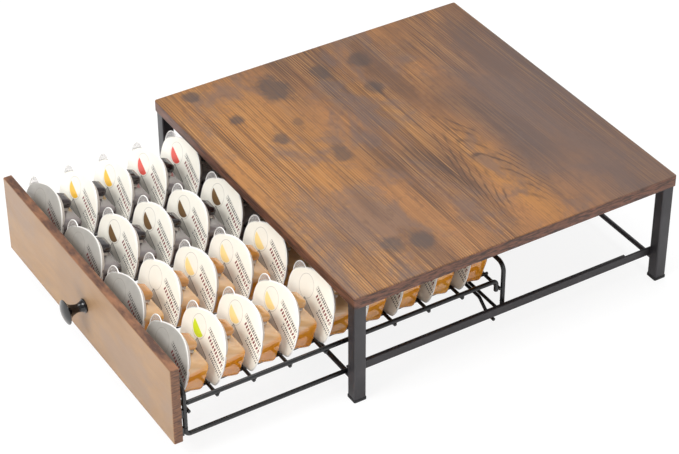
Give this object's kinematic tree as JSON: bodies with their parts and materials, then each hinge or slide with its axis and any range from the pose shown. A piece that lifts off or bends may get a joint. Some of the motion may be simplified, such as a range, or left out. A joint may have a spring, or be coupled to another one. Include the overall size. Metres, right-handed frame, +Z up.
{
  "type": "capsule drawer",
  "caption": "Low kitchen stand with a wooden top on square steel legs and a sliding wire drawer with a wooden front and knob that holds cocktail capsules in sloping rows",
  "frame": {"origin": "centre of the bounding box on the surface that the feet stand on, with the drawer open as pictured", "axes": "+Z up, -Y toward the front of the drawer, +X to the right as seen from the front"},
  "size_m": [0.38, 0.561, 0.123],
  "materials": {
    "mango_wood": "matte",
    "charcoal_steel": "satin",
    "black_wire": "satin",
    "screw_steel": "satin",
    "black_plastic": "matte",
    "gloss_black": "gloss",
    "white_foil": "satin",
    "smoke_cup": "gloss",
    "amber_cup": "gloss"
  },
  "bodies": {
    "stand": {"top_board": "mango_wood", "leg_front_left": "charcoal_steel", "leg_front_right": "charcoal_steel", "leg_rear_left": "charcoal_steel", "leg_rear_right": "charcoal_steel", "foot_plugs": "black_plastic", "leg_plates": "charcoal_steel", "board_screws": "screw_steel", "side_rail_left": "charcoal_steel", "side_rail_right": "charcoal_steel", "front_cross_bar": "charcoal_steel", "rear_cross_bar": "charcoal_steel"},
    "drawer": {"drawer_front": "mango_wood", "knob": "gloss_black", "knob_screw": "screw_steel", "runner_left": "black_wire", "runner_right": "black_wire", "front_hoop": "black_wire", "rear_hoop": "black_wire", "side_wire_left": "black_wire", "side_wire_right": "black_wire", "row_wires": "black_wire", "front_middle_wire": "black_wire", "rear_middle_wire": "black_wire", "rear_lower_wire": "black_wire", "floor_wires": "black_wire", "stop_wire": "black_wire", "front_tabs": "black_wire", "tab_screws": "screw_steel", "capsule_lids_column_1": "white_foil", "capsule_lids_column_2": "white_foil", "capsule_lids_column_3": "white_foil", "capsule_lids_column_4": "white_foil", "capsule_cups_column_1": "smoke_cup", "capsule_cups_column_2": "smoke_cup", "capsule_cups_column_3": "amber_cup", "capsule_cups_column_4": "amber_cup"}
  },
  "joints": [
    {"name": "drawer_slide", "type": "slide", "parent": "stand", "child": "drawer", "axis": [0, -1, 0], "range_m": [-0.171, 0.153]}
  ]
}
